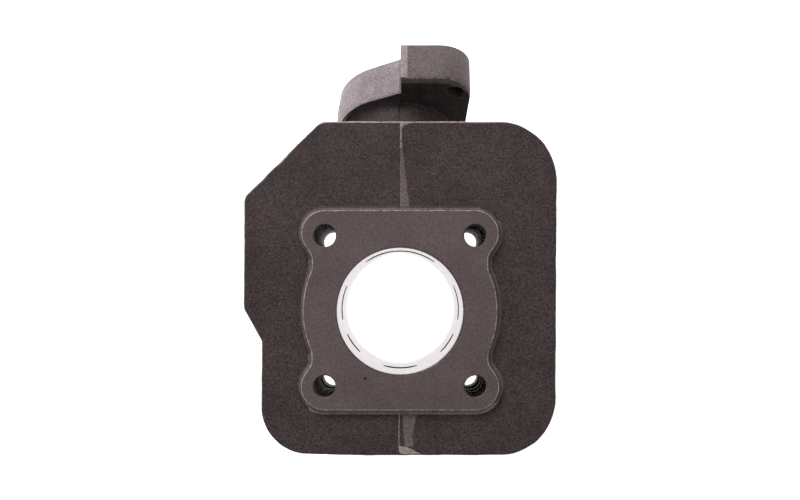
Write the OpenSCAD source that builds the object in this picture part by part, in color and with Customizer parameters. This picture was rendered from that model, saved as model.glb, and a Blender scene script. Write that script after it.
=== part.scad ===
// Air-cooled two-stroke engine cylinder, one iron casting, drawn as its natural regions.
// Frame: +Z runs along the bore from the crankcase face (z = 0) to the gasket face,
// +Y points to the exhaust side, +X to the right seen from the head.
// Every region meets its neighbours face to face, so together they are the one casting.

/* [Bore and barrel] */
// diameter of the honed bore
bore_d = 40; // [38:0.5:41]
// wall between the bore and the fins or ducts
barrel_wall = 4.5; // [4:0.5:5]
// bevel at the mouth of the bore and at the end of the spigot
bore_bevel = 0.5; // [0.3:0.1:0.8]
// height of the gasket face above the crankcase face
deck_z = 60; // [59:0.5:62]

/* [Spigot] */
// length of the spigot that enters the crankcase
spigot_len = 16; // [12:1:20]
// wall of the spigot
spigot_wall = 3; // [2.5:0.5:3.5]
// radius of the two connecting rod reliefs in its end
relief_r = 9; // [7:0.5:10]

/* [Head gasket pad] */
// height of the machined pad above the top fin
pad_h = 2.5; // [2:0.5:3]
// half width of the pad at its waists
pad_waist = 28.4; // [27.5:0.1:29]
// radius of the round bulge beside the bore
pad_bulge_r = 31; // [30:0.5:31.5]
// radius of the four lobes around the stud holes
lobe_r = 8; // [7.5:0.1:8.5]

/* [Studs] */
// side of the square on which the four stud holes stand
stud_span = 47.7; // [47:0.1:49]
// diameter of the stud holes
stud_hole_d = 7; // [6.5:0.1:7.5]
// radius of the columns around the stud holes
column_r = 6.8; // [6.2:0.1:7.2]
// height of the collars that stand on the fins where a column is left open
collar_h = 1.5; // [1:0.1:1.8]
// width of the web that ties a column to the barrel
web_w = 8; // [6:0.5:9]

/* [Fins] */
// thickness of the top fin
top_fin_t = 2.8; // [2.4:0.1:3.2]
// thickness of the other fins
fin_t = 3.2; // [2.8:0.1:3.6]
// distance from one fin to the next
fin_pitch = 12.4; // [12:0.1:12.6]
// middle height of the second fin
second_fin_z = 46.7; // [46:0.1:47.2]
// how far the fins reach on the exhaust side
fin_front = 60.4; // [58:0.1:61]
// how far the fins reach on the rear side
fin_rear = 45.9; // [44:0.1:47]
// how far the fins reach to the right
fin_right = 49.8; // [48:0.1:51]
// how far the fins reach to the left beside the exhaust
fin_left = 49.8; // [48.5:0.1:50.5]
// how far the fins reach to the left behind the step
fin_left_rear = 44.2; // [43:0.1:45]
// run of the 45 degree cut at the left exhaust corner
fin_cut = 24.4; // [23:0.1:27]
// radius of the three round corners
fin_corner_r = 18.5; // [16:0.5:19]

/* [Crankcase flange] */
// thickness of the crankcase flange
base_t = 9; // [8:0.5:10]
// half width of the crankcase flange
base_half_w = 36; // [35.5:0.5:38]
// reach of the crankcase flange on the exhaust side
base_front = 33.5; // [33:0.5:35]
// reach of the crankcase flange on the rear side
base_rear = 35; // [35:0.5:36]
// corner radius of the crankcase flange
base_corner_r = 10; // [8:0.5:11]

/* [Ports] */
// chord of the exhaust window
exhaust_w = 21.8; // [20:0.1:22.5]
// lower and upper edge heights of the exhaust window
exhaust_low = 20; // [19.5:0.1:21]
exhaust_high = 34; // [33:0.1:34.5]
// lower and upper edge heights of the transfer windows
transfer_low = 19; // [18.5:0.1:20]
transfer_high = 28.5; // [28:0.1:29]
// chord of a main transfer window
main_w = 11.7; // [11:0.1:12.5]
// chord of an auxiliary transfer window
aux_w = 7.3; // [6.5:0.1:7.6]
// chord of the boost window
boost_w = 11; // [10:0.1:12]
// angle of the right main transfer from +X towards the exhaust
main_angle = 7; // [5:0.5:8]
// angle of the auxiliary transfers from +X towards the rear
aux_angle = 35.5; // [35:0.5:37]
// wall of the transfer duct housings
duct_wall = 3.5; // [3:0.1:4]

/* [Exhaust flange] */
// tilt of the outlet face towards the crankcase
flange_tilt = 26; // [24:0.5:28]
// thickness of the outlet flange
flange_t = 13.5; // [12.5:0.5:14]
// distance of the face's upper edge from the bore axis
flange_edge_y = 86.8; // [85:0.1:87.5]
// height of the face's upper edge
flange_edge_z = 48; // [47.5:0.1:49]
// radius of the exhaust duct at the outlet
duct_r = 11.5; // [11:0.1:12]
// outer radius of the neck
neck_r = 16; // [15.5:0.1:16.5]
// flare where the neck meets the back of the flange
neck_flare = 2; // [1.5:0.5:3]
// radius of the tapped holes for M6 screws
tap_r = 2.5; // [2.4:0.05:2.6]

/* [Hidden] */
$fn = 96;

over = 1;                              // how far a cut runs past the face it opens
bore_r = bore_d / 2;
barrel_r = bore_r + barrel_wall;
pad_z = deck_z - pad_h;
stud_xy = stud_span / 2;
stud_dist = norm([stud_xy, stud_xy]);
belt_low = transfer_low - 2;
belt_high = exhaust_high + 2;

// fins from the top down: middle height, thickness, reach on the exhaust side
fin_retreat = 6;
third_fin_z = second_fin_z - fin_pitch;
fourth_fin_z = third_fin_z - fin_pitch;
top_low = pad_z - top_fin_t;
// the four gaps that the stud columns cross, from the top down, as [low, high]
gaps = [[second_fin_z + fin_t / 2, top_low],
        [third_fin_z + fin_t / 2, second_fin_z - fin_t / 2],
        [fourth_fin_z + fin_t / 2, third_fin_z - fin_t / 2],
        [base_t, fourth_fin_z - fin_t / 2]];

// transfer passages: how far from the bore axis the passage reaches
main_reach = bore_r + 11;
aux_reach = bore_r + 8;
boost_reach = bore_r + 10;

// exhaust flange outline seen from its back: right is +X, up is towards the head
duct_drop = 31;                        // duct centre below the face's upper edge
bend_depth = 10;                       // from the back of the flange to the bend
elbow_lead = 10;                       // from the start of the elbow to the bend
neck_swell = 1.5;                      // extra radius at the bend, outside and inside
duct_swell = 1;
tap_upper = [17.8, -7.5];
tap_lower = [-16.8, -54.5];
lug_upper_low = -15;
lug_lower_high = -47;
flange_outline = [[0, 0, 0.6], [0, -7.7, 0], [-18.9, -18, 21], [-22.1, -40, 20],
                  [-23, -62, 7], [-4, -62, 5], [1.5, -54.5, 0], [19.1, -45.5, 13],
                  [22.2, -26, 12], [23.7, 0, 10.4]];

iron = [0.22, 0.20, 0.20];
machined = [0.45, 0.42, 0.42];

// ---- outlines with true round corners: each vertex is [x, y, corner radius] ----

function at(p, i) = let (k = (i + len(p)) % len(p)) [p[k][0], p[k][1]];
function unit(v) = v / norm(v);
function back_dir(p, i) = unit(at(p, i - 1) - at(p, i));
function next_dir(p, i) = unit(at(p, i + 1) - at(p, i));
function half_angle(p, i) = acos(back_dir(p, i) * next_dir(p, i)) / 2;
function arc_start(p, i) = at(p, i) + back_dir(p, i) * p[i][2] / tan(half_angle(p, i));
function arc_end(p, i) = at(p, i) + next_dir(p, i) * p[i][2] / tan(half_angle(p, i));
function arc_centre(p, i) =
  at(p, i) + unit(back_dir(p, i) + next_dir(p, i)) * p[i][2] / sin(half_angle(p, i));
function is_round(p, i) = p[i][2] > 0;
function corner_points(p, i) = is_round(p, i) ? [arc_start(p, i), arc_end(p, i)] : [at(p, i)];

// closed outline, vertices counter-clockwise; only outward corners may be round
module rounded_outline(p) {
  last = len(p) - 1;
  polygon([for (i = [0:last]) for (q = corner_points(p, i)) q]);
  for (i = [0:last]) {
    if (is_round(p, i)) {
      translate(arc_centre(p, i)) circle(r = p[i][2]);
    }
  }
}

module rounded_box_outline(w, h, r) {
  rounded_outline([[-w / 2, -h / 2, r], [w / 2, -h / 2, r], [w / 2, h / 2, r], [-w / 2, h / 2, r]]);
}

// ---- spaces inside the casting ----

module barrel_core() {
  translate([0, 0, -spigot_len - over]) cylinder(h = spigot_len + deck_z + 2 * over, r = barrel_r);
}

module stud_holes() {
  for (sx = [-1, 1]) {
    for (sy = [-1, 1]) {
      translate([sx * stud_xy, sy * stud_xy, -over])
        cylinder(h = deck_z + 2 * over, d = stud_hole_d);
    }
  }
}

// side view of a transfer passage: X is the distance from the bore axis, Y the height
module passage_profile(reach, roof_r, grow) {
  floor_x = bore_r + 2;
  turn = [reach - roof_r, transfer_high - roof_r];
  translate([floor_x, -over]) square([reach + grow - floor_x, turn[1] + over]);
  intersection() {
    translate(turn) circle(r = roof_r + grow);
    translate([floor_x, turn[1] - 0.1]) square([reach + grow - floor_x, roof_r + grow + 0.1]);
  }
}

// one passage from the crankcase face up to its window, pointing along the given angle
module passage(angle, w, reach, roof_r, grow) {
  rotate([0, 0, angle]) rotate([90, 0, 0]) translate([0, 0, -w / 2 - grow])
    linear_extrude(w + 2 * grow) passage_profile(reach, roof_r, grow);
}

module main_passage(angle, grow) {
  passage(angle, main_w, main_reach, 10, grow);
}

module aux_passage(angle, grow) {
  passage(angle, aux_w, aux_reach, 7.5, grow);
}

module boost_passage(grow) {
  passage(270, boost_w, boost_reach, 9, grow);
}

module all_passages(grow) {
  main_passage(main_angle, grow);
  main_passage(180 - main_angle, grow);
  aux_passage(-aux_angle, grow);
  aux_passage(180 + aux_angle, grow);
  boost_passage(grow);
}

// window through the barrel wall, pointing along the given angle
module port_window(angle, w, low, high, r) {
  rotate([0, 0, angle]) translate([bore_r - 4, 0, (low + high) / 2]) rotate([90, 0, 90])
    linear_extrude(barrel_wall + 8) rounded_box_outline(w, high - low, r);
}

// ---- exhaust outlet ----

// moves a drawing from the outlet face's own plane into place, thickness going inwards
module on_flange() {
  translate([0, flange_edge_y, flange_edge_z]) rotate([90 - flange_tilt, 0, 0]) children();
}

// centre line of the duct as [distance from the bore axis, height]: straight out of the
// window to the bend, then straight through the flange
window_mid = [bore_r + 2, (exhaust_low + exhaust_high) / 2];
outlet = [flange_edge_y - duct_drop * sin(flange_tilt), flange_edge_z - duct_drop * cos(flange_tilt)];
out_dir = [cos(flange_tilt), -sin(flange_tilt)];
bend = outlet - out_dir * (flange_t + bend_depth);
rise = atan2(bend[1] - window_mid[1], bend[0] - window_mid[0]);
run_len = norm(bend - window_mid);
throat_len = run_len - elbow_lead;

// children are drawn with +Z along the straight run, starting at the middle of the window
module on_run() {
  translate([0, window_mid[0], window_mid[1]]) rotate([rise - 90, 0, 0]) children();
}

// a round bar along the straight run, from inside the barrel to where the elbow starts
module throat_span(r) {
  on_run() translate([0, 0, -10]) cylinder(h = throat_len + 10, r = r);
}

// the duct from the given distance along the run, round the bend and out to the given depth
// in the flange; the bend swells a little
module elbow_bar(r, from, swell, depth) {
  on_run() translate([0, 0, from]) cylinder(h = run_len - from, r = r);
  translate([0, bend[0], bend[1]]) sphere(r = r + swell);
  on_flange() translate([0, -duct_drop, depth]) cylinder(h = flange_t + bend_depth - depth, r = r);
}

module neck_flare_cone() {
  on_flange() translate([0, -duct_drop, flange_t])
    cylinder(h = neck_flare, r1 = neck_r + neck_flare, r2 = neck_r);
}

// the solid outside of the neck, from inside the barrel to the flange
module neck_bar() {
  elbow_bar(neck_r, -10, neck_swell, flange_t);
  neck_flare_cone();
}

// the first stretch of the gas passage: a flat window shape that opens into a round duct
module throat_void() {
  throat_r = (exhaust_high - exhaust_low) / 2;
  on_run() cylinder(h = throat_len, r1 = throat_r - 0.5, r2 = duct_r - 0.3);
  on_run() translate([0, 0, throat_len - over]) cylinder(h = 2 * over, r = duct_r);
  on_run() translate([0, 0, -6]) linear_extrude(16)
    rounded_box_outline(exhaust_w, 2 * throat_r, 4);
}

module flange_slab() {
  on_flange() linear_extrude(flange_t) rounded_outline(flange_outline);
}

// ---- fins ----

module fin_outline(reach) {
  rounded_outline([[fin_cut - fin_left - (fin_front - reach), reach, 3],
                   [-fin_left, fin_front - fin_cut, 4],
                   [-fin_left, 0.6, 3],
                   [-fin_left_rear, -9.6, 0],
                   [-fin_left_rear, -fin_rear, fin_corner_r],
                   [fin_right, -fin_rear, fin_corner_r],
                   [fin_right, reach, fin_corner_r]]);
}

module fin_plate(low, thick, reach) {
  difference() {
    translate([0, 0, low]) linear_extrude(thick) fin_outline(reach);
    barrel_core();
    stud_holes();
    all_passages(duct_wall);
    neck_bar();
  }
}

module fin_top() {
  color(iron) fin_plate(top_low, top_fin_t, fin_front);
}

module fin_second() {
  color(iron) fin_plate(second_fin_z - fin_t / 2, fin_t, fin_front);
}

module fin_third() {
  color(iron) fin_plate(third_fin_z - fin_t / 2, fin_t, fin_front - fin_retreat);
}

module fin_fourth() {
  color(iron) fin_plate(fourth_fin_z - fin_t / 2, fin_t, fin_front - 2 * fin_retreat);
}

// ---- head gasket pad ----

module pad_outline() {
  rounded_box_outline(2 * pad_waist, 2 * (stud_xy + lobe_r), lobe_r - 1);
  circle(r = pad_bulge_r);
  for (sx = [-1, 1]) {
    for (sy = [-1, 1]) {
      translate([sx * stud_xy, sy * stud_xy]) circle(r = lobe_r);
    }
  }
}

module head_gasket_pad() {
  color(machined) difference() {
    translate([0, 0, pad_z]) linear_extrude(pad_h) pad_outline();
    translate([0, 0, pad_z - over]) cylinder(h = pad_h + 2 * over, r = bore_r);
    translate([0, 0, deck_z - bore_bevel])
      cylinder(h = bore_bevel + over, r1 = bore_r, r2 = bore_r + bore_bevel + over);
    stud_holes();
  }
}

// ---- barrel ----

module ring(low, high, outer_r) {
  difference() {
    translate([0, 0, low]) cylinder(h = high - low, r = outer_r);
    translate([0, 0, low - over]) cylinder(h = high - low + 2 * over, r = bore_r);
  }
}

module barrel_wall_upper() {
  color(iron) ring(belt_high, pad_z, barrel_r);
}

module port_belt() {
  color(iron) difference() {
    ring(belt_low, belt_high, barrel_r);
    port_window(90, exhaust_w, exhaust_low, exhaust_high, 4);
    port_window(main_angle, main_w, transfer_low, transfer_high, 2);
    port_window(180 - main_angle, main_w, transfer_low, transfer_high, 2);
    port_window(-aux_angle, aux_w, transfer_low, transfer_high, 2);
    port_window(180 + aux_angle, aux_w, transfer_low, transfer_high, 2);
    port_window(270, boost_w, transfer_low, transfer_high, 2);
  }
}

module barrel_wall_lower() {
  color(iron) ring(0, belt_low, barrel_r);
}

module spigot() {
  spigot_r = bore_r + spigot_wall;
  color(iron) difference() {
    ring(-spigot_len, 0, spigot_r);
    translate([0, -spigot_r - over, -spigot_len]) rotate([-90, 0, 0])
      cylinder(h = 2 * (spigot_r + over), r = relief_r);
    translate([0, 0, -spigot_len - over])
      cylinder(h = bore_bevel + over, r1 = bore_r + bore_bevel + over, r2 = bore_r);
  }
}

// ---- stud columns ----

module column_section(low, high, with_web) {
  translate([0, 0, low]) cylinder(h = high - low, r = column_r);
  if (with_web) {
    translate([-stud_dist, -web_w / 2, low]) cube([stud_dist, web_w, high - low]);
  }
}

// one column; open_gaps says for each gap, from the top down, whether it was left open
module stud_column(angle, open_gaps) {
  color(iron) difference() {
    rotate([0, 0, angle]) translate([stud_dist, 0, 0]) {
      for (i = [0:3]) {
        if (open_gaps[i]) {
          column_section(gaps[i][0], gaps[i][0] + collar_h, false);
          column_section(gaps[i][1] - collar_h, gaps[i][1], false);
        } else {
          column_section(gaps[i][0], gaps[i][1], true);
        }
      }
    }
    barrel_core();
    stud_holes();
    all_passages(0);
    neck_bar();
    difference() {
      all_passages(duct_wall);
      column_bars();
    }
  }
}

module column_bars() {
  for (angle = [45:90:315]) {
    rotate([0, 0, angle]) translate([stud_dist, 0, 0]) cylinder(h = deck_z, r = column_r);
  }
}

module stud_column_exhaust_right() {
  stud_column(45, [false, true, false, false]);
}

module stud_column_exhaust_left() {
  stud_column(135, [true, false, false, false]);
}

module stud_column_rear_left() {
  stud_column(225, [false, false, false, true]);
}

module stud_column_rear_right() {
  stud_column(315, [true, true, true, false]);
}

// ---- transfer duct housings ----

// children: the housing's outer body, then its passage
module housing() {
  color(iron) difference() {
    children(0);
    children(1);
    barrel_core();
    column_bars();
    translate([-100, -100, -100]) cube([200, 200, 100 + base_t]);
    translate([-100, -100, third_fin_z - fin_t / 2]) cube([200, 200, 100]);
    neck_bar();
  }
}

module transfer_duct_right() {
  housing() {
    main_passage(main_angle, duct_wall);
    main_passage(main_angle, 0);
  }
}

module transfer_duct_left() {
  housing() {
    main_passage(180 - main_angle, duct_wall);
    main_passage(180 - main_angle, 0);
  }
}

module aux_duct_right() {
  housing() {
    difference() {
      aux_passage(-aux_angle, duct_wall);
      main_passage(main_angle, duct_wall);
    }
    aux_passage(-aux_angle, 0);
  }
}

module aux_duct_left() {
  housing() {
    difference() {
      aux_passage(180 + aux_angle, duct_wall);
      main_passage(180 - main_angle, duct_wall);
    }
    aux_passage(180 + aux_angle, 0);
  }
}

module boost_duct() {
  housing() {
    boost_passage(duct_wall);
    boost_passage(0);
  }
}

// ---- crankcase flange ----

module crankcase_flange() {
  color(iron) difference() {
    linear_extrude(base_t) rounded_outline([[-base_half_w, -base_rear, base_corner_r],
                                            [base_half_w, -base_rear, base_corner_r],
                                            [base_half_w, base_front, base_corner_r],
                                            [-base_half_w, base_front, base_corner_r]]);
    barrel_core();
    stud_holes();
    all_passages(0);
  }
}

// ---- exhaust neck and outlet flange ----

module exhaust_throat() {
  color(iron) difference() {
    throat_span(neck_r);
    barrel_core();
    throat_void();
  }
}

module exhaust_elbow() {
  color(iron) difference() {
    union() {
      elbow_bar(neck_r, throat_len - 2, neck_swell, flange_t);
      neck_flare_cone();
    }
    elbow_bar(duct_r, throat_len - 2, duct_swell, 0);
    throat_span(neck_r + 14);
    on_flange() translate([-50, -100, flange_t - 50]) cube([100, 100, 50]);
  }
}

// the slice of the flange between two heights in its own plane
module flange_slice(low, high) {
  color(iron) intersection() {
    difference() {
      flange_slab();
      on_flange() translate([0, -duct_drop, -over]) cylinder(h = flange_t + 2 * over, r = duct_r);
      for (p = [tap_upper, tap_lower]) {
        on_flange() translate([p[0], p[1], -over]) cylinder(h = flange_t + 2 * over, r = tap_r);
      }
    }
    on_flange() translate([-50, low, -over]) cube([100, high - low, flange_t + 2 * over]);
  }
}

module exhaust_flange() {
  flange_slice(lug_lower_high, lug_upper_low);
}

module exhaust_lug_upper() {
  flange_slice(lug_upper_low, over);
}

module exhaust_lug_lower() {
  flange_slice(-80, lug_lower_high);
}

head_gasket_pad();
fin_top();
fin_second();
fin_third();
fin_fourth();
crankcase_flange();
spigot();
barrel_wall_upper();
port_belt();
barrel_wall_lower();
stud_column_exhaust_left();
stud_column_exhaust_right();
stud_column_rear_left();
stud_column_rear_right();
transfer_duct_left();
transfer_duct_right();
aux_duct_left();
aux_duct_right();
boost_duct();
exhaust_throat();
exhaust_elbow();
exhaust_flange();
exhaust_lug_upper();
exhaust_lug_lower();
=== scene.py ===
import bpy, bmesh, math
from mathutils import Matrix, Vector, noise


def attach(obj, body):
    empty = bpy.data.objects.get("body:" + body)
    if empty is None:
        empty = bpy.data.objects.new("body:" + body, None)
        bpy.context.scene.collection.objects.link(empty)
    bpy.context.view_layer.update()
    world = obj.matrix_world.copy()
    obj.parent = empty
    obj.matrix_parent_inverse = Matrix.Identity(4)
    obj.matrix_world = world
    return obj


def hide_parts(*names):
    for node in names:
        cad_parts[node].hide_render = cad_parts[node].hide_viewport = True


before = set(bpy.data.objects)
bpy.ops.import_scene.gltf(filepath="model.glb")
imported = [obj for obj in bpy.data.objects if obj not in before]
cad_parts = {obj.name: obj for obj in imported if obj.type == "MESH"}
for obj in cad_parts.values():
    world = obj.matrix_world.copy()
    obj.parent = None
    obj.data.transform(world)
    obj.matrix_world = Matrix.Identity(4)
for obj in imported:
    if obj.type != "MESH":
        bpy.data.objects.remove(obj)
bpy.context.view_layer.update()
MM = 0.001

# ---- sizes in millimetres, from the CAD model or matched to the photograph ----

BORE_R, BARREL_R, SPIGOT_R = 20.0, 24.5, 23.0
BORE_SIDES, BARREL_SIDES = 256, 160
DECK_Z, PAD_Z, SPIGOT_LOW = 60.0, 57.5, -16.0
BELT_LOW, BELT_HIGH = 17.0, 36.0
BASE_T = 9.0
STUD_XY, STUD_R, STUD_SIDES = 23.85, 3.5, 64
STUD_DIST = STUD_XY * math.sqrt(2)
COLUMN_R, COLLAR_H, WEB_W = 6.8, 2.1, 8.0
TILT = math.radians(26)
EDGE_Y, EDGE_Z = 86.8, 48.0
FLANGE_T, DUCT_DROP, DUCT_R, NECK_R = 13.5, 31.0, 11.5, 16.0
BEND_DEPTH, ELBOW_LEAD = 10.0, 10.0
EXHAUST_Z = 27.0
FLANGE_FILLET, LEFT_FILLET = 1.8, 4.5
# the neck: how far its left mould half stands out, where its root starts, how long and how wide it flares
MOULD_STEP, ROOT_AT, ROOT_RUN, ROOT_FLARE = 0.12, 3.0, 6.0, 3.5
# faces with a centre left of this belong to the left mould half
SEAM_X = -0.2
TAPS = ((17.8, -7.5), (-16.8, -54.5))
TAP_R = 2.5
MAIN_ANGLE, AUX_ANGLE = 7.0, 35.5
PASSAGE_TOP, PASSAGE_CORNER = 28.5, 1.2
HOUSING_WALL, HOUSING_CORNER, HOUSING_FLARE = 3.5, 2.6, 1.6
TRANSFER_LOW, TRANSFER_HIGH = 18.5, 26.5
# fins: low, high, reach towards the exhaust
FINS = {"fin_top": (54.7, 57.5, 60.4), "fin_second": (45.1, 48.3, 60.4),
        "fin_third": (32.7, 35.9, 54.4), "fin_fourth": (20.3, 23.5, 48.4)}
FIN_LEFT, FIN_LEFT_REAR, FIN_RIGHT, FIN_REAR, FIN_CUT = 49.8, 44.2, 49.8, 45.9, 24.4
GAPS = [(48.3, 54.7), (35.9, 45.1), (23.5, 32.7), (9.0, 20.3)]

# material slots, the same order on every piece
CAST, EDGE, MACHINED, HONED, DRILLED, GROUND_AND_HIGHLIGHT, PALE, MID, PAINTED_SHADE = range(9)


# ---- node helpers ----

class Nodes:
    """One procedural material and short ways to add nodes to it; textures follow the object."""

    def __init__(self, name):
        self.mat = bpy.data.materials.new(name)
        self.mat.use_nodes = True
        self.tree = self.mat.node_tree
        self.tree.nodes.clear()
        self.out = self.add("ShaderNodeOutputMaterial")
        self.shader = self.add("ShaderNodeBsdfPrincipled")
        self.tree.links.new(self.shader.outputs[0], self.out.inputs[0])
        self.coord = self.add("ShaderNodeTexCoord").outputs["Object"]

    def add(self, kind, **values):
        n = self.tree.nodes.new(kind)
        for k, v in values.items():
            setattr(n, k, v)
        return n

    def link(self, a, b):
        self.tree.links.new(a, b)

    def noise(self, size_mm, detail=2.0, rough=0.5, stretch=None, coord=None):
        n = self.add("ShaderNodeTexNoise")
        n.inputs["Scale"].default_value = 1 / (size_mm * MM)
        n.inputs["Detail"].default_value = detail
        n.inputs["Roughness"].default_value = rough
        src = coord or self.coord
        if stretch:
            m = self.add("ShaderNodeMapping")
            m.inputs["Scale"].default_value = stretch
            self.link(src, m.inputs["Vector"])
            src = m.outputs[0]
        self.link(src, n.inputs["Vector"])
        return n.outputs["Fac"]

    def ramp(self, fac, stops):
        n = self.add("ShaderNodeValToRGB")
        elements = n.color_ramp.elements
        while len(elements) < len(stops):
            elements.new(0.5)
        for element, (position, color) in zip(elements, stops):
            element.position = position
            element.color = (*color, 1)
        self.link(fac, n.inputs[0])
        return n.outputs[0]

    def remap(self, fac, *limits):
        n = self.add("ShaderNodeMapRange")
        for name, v in zip(("From Min", "From Max", "To Min", "To Max"), limits):
            n.inputs[name].default_value = v
        self.link(fac, n.inputs["Value"])
        return n.outputs[0]

    def math(self, op, a, b=None):
        n = self.add("ShaderNodeMath", operation=op)
        for i, v in enumerate((a, b)):
            if v is None:
                continue
            if isinstance(v, (int, float)):
                n.inputs[i].default_value = v
            else:
                self.link(v, n.inputs[i])
        return n.outputs[0]

    def mix(self, fac, a, b, mode="MIX"):
        n = self.add("ShaderNodeMix", data_type="RGBA", blend_type=mode)
        for sock, v in ((n.inputs[0], fac), (n.inputs[6], a), (n.inputs[7], b)):
            if isinstance(v, (int, float)):
                sock.default_value = v
            elif isinstance(v, tuple):
                sock.default_value = (*v, 1)
            else:
                self.link(v, sock)
        return n.outputs[2]

    def bump(self, height, strength, distance_mm, below=None):
        n = self.add("ShaderNodeBump")
        n.inputs["Strength"].default_value = strength
        n.inputs["Distance"].default_value = distance_mm * MM
        self.link(height, n.inputs["Height"])
        if below is not None:
            self.link(below, n.inputs["Normal"])
        return n.outputs[0]

    def finish(self, color, rough, normal=None, metallic=0.0, specular=0.5):
        s = self.shader
        self.link(color, s.inputs["Base Color"])
        self.link(rough, s.inputs["Roughness"])
        s.inputs["Metallic"].default_value = metallic
        s.inputs["Specular IOR Level"].default_value = specular
        if normal is not None:
            self.link(normal, s.inputs["Normal"])
        return self.mat


def axis_of(n, i):
    split = n.add("ShaderNodeSeparateXYZ")
    n.link(n.coord, split.inputs[0])
    return split.outputs[i]


def scaled(tone, *factors):
    return tuple(v * k for v, k in zip(tone, factors))


def cast_material(name, dark, light, glint_tone, wear_and_sheen=0.0, worn_and_sheen_tone=None, contrast=0.42, tint=0.25):
    """Sand-cast iron: mottled tone, fine grain, a few painted glints; the wear setting rubs pale spots in,
    partly real wear, partly painted highlight.
    """
    n = Nodes(name)
    broad = n.noise(20, 3, 0.6)
    patch = n.noise(4.0, 4, 0.6)
    grain = n.noise(0.62, 3, 0.7)
    fine = n.noise(0.3, 2, 0.6)
    mottle = n.math("ADD", n.math("MULTIPLY", broad, 0.5), n.math("MULTIPLY", patch, 0.5))
    speckle = n.math("ADD", n.math("MULTIPLY", grain, 0.6), n.math("MULTIPLY", fine, 0.4))
    tones = [n.ramp(mottle, [(0.38, scaled(dark, k, k, k)), (0.62, scaled(light, k, k, k))])
             for k in (1 - contrast, 1 + 0.9 * contrast)]
    tone = n.mix(n.remap(speckle, 0.40, 0.60, 0.0, 1.0), tones[0], tones[1])
    warm = n.ramp(n.noise(9, 3, 0.6), [(0.44, (0.97, 0.99, 1.03)), (0.60, (1.10, 0.97, 0.88))])
    tone = n.mix(tint, tone, warm, "MULTIPLY")
    # the glints: bright flecks mixed into the colour, a painted highlight
    glint = n.ramp(n.noise(0.5, 1, 0.5), [(0.66, (0, 0, 0)), (0.76, (1, 1, 1))])
    tone = n.mix(n.math("MULTIPLY", glint, 0.6), tone, glint_tone)
    rust = n.ramp(n.noise(7, 4, 0.7), [(0.58, (0, 0, 0)), (0.72, (1, 1, 1))])
    tone = n.mix(n.math("MULTIPLY", rust, 0.22), tone, scaled(light, 1.5, 1.1, 0.8))
    # the wear setting lays pale spots on: partly real wear, partly painted highlight on edges that catch
    # the light
    if wear_and_sheen:
        rub_and_sheen = n.math("ADD", n.math("MULTIPLY", n.noise(2.4, 4, 0.65), 0.6), n.math("MULTIPLY", grain, 0.4))
        spots = n.ramp(rub_and_sheen, [(0.40, (0, 0, 0)), (0.56, (1, 1, 1))])
        tone = n.mix(n.math("MULTIPLY", spots, wear_and_sheen), tone, worn_and_sheen_tone)
    rough = n.remap(grain, 0.3, 0.7, 0.55, 0.75)
    low = n.bump(patch, 0.30, 0.4)
    mid = n.bump(grain, 0.55, 0.14, low)
    top = n.bump(fine, 0.45, 0.06, mid)
    return n.finish(tone, rough, top, 0.0, 0.22)


def machined_material():
    """Milled iron: an even warm grey with a fine grain and faint feed lines."""
    n = Nodes("machined_iron")
    broad = n.noise(16, 3, 0.55)
    fine = n.noise(0.45, 3, 0.6)
    feed = n.noise(0.35, 2, 0.5, (1.0, 0.06, 1.0))
    tone = n.ramp(broad, [(0.35, (0.084, 0.061, 0.059)), (0.65, (0.102, 0.075, 0.074))])
    grain = n.ramp(fine, [(0.38, (0.62, 0.62, 0.62)), (0.62, (1.0, 1.0, 1.0))])
    tone = n.mix(1.0, tone, grain, "MULTIPLY")
    rough = n.remap(fine, 0.3, 0.7, 0.48, 0.60)
    normal = n.bump(feed, 0.12, 0.05, n.bump(fine, 0.25, 0.06))
    return n.finish(tone, rough, normal, 0.0, 0.25)


def honed_material():
    """Honed bore: bright metal with two crossed sets of fine scratches wound round it."""
    n = Nodes("honed_iron")
    x, y, z = (axis_of(n, i) for i in range(3))
    around = n.math("MULTIPLY", n.math("ARCTAN2", y, x), BORE_R * MM)
    lines = []
    for slope in (0.6, -0.6):
        run = n.add("ShaderNodeCombineXYZ")
        n.link(n.math("ADD", around, n.math("MULTIPLY", z, slope)), run.inputs[0])
        n.link(n.math("SUBTRACT", z, n.math("MULTIPLY", around, slope)), run.inputs[1])
        lines.append(n.noise(0.25, 2, 0.6, (0.02, 1.0, 1.0), run.outputs[0]))
    hatch = n.math("MULTIPLY", n.math("ADD", lines[0], lines[1]), 0.5)
    tone = n.ramp(hatch, [(0.35, (0.50, 0.445, 0.465)), (0.65, (0.66, 0.59, 0.615))])
    rough = n.remap(hatch, 0.35, 0.65, 0.16, 0.28)
    return n.finish(tone, rough, n.bump(hatch, 0.10, 0.012), 1.0, 0.5)


def drilled_material():
    """Drilled walls, dark, banded along the hole: mottled bands and fine rings 2.6 mm apart."""
    n = Nodes("drilled_iron")
    z = axis_of(n, 2)
    bands = n.noise(2.2, 3, 0.7, (0.0, 0.0, 1.0))
    rings = n.math("SINE", n.math("MULTIPLY", z, 2 * math.pi / (2.6 * MM)))
    spots = n.noise(1.2, 3, 0.6)
    mark = n.math("ADD", n.math("MULTIPLY", bands, 0.6), n.math("MULTIPLY", spots, 0.4))
    mark = n.math("ADD", mark, n.math("MULTIPLY", rings, 0.07))
    tone = n.ramp(mark, [(0.40, (0.054, 0.033, 0.032)), (0.50, (0.165, 0.112, 0.108)),
                         (0.60, (0.34, 0.242, 0.238))])
    rough = n.remap(bands, 0.3, 0.7, 0.55, 0.7)
    return n.finish(tone, rough, None, 0.65, 0.04)


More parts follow.
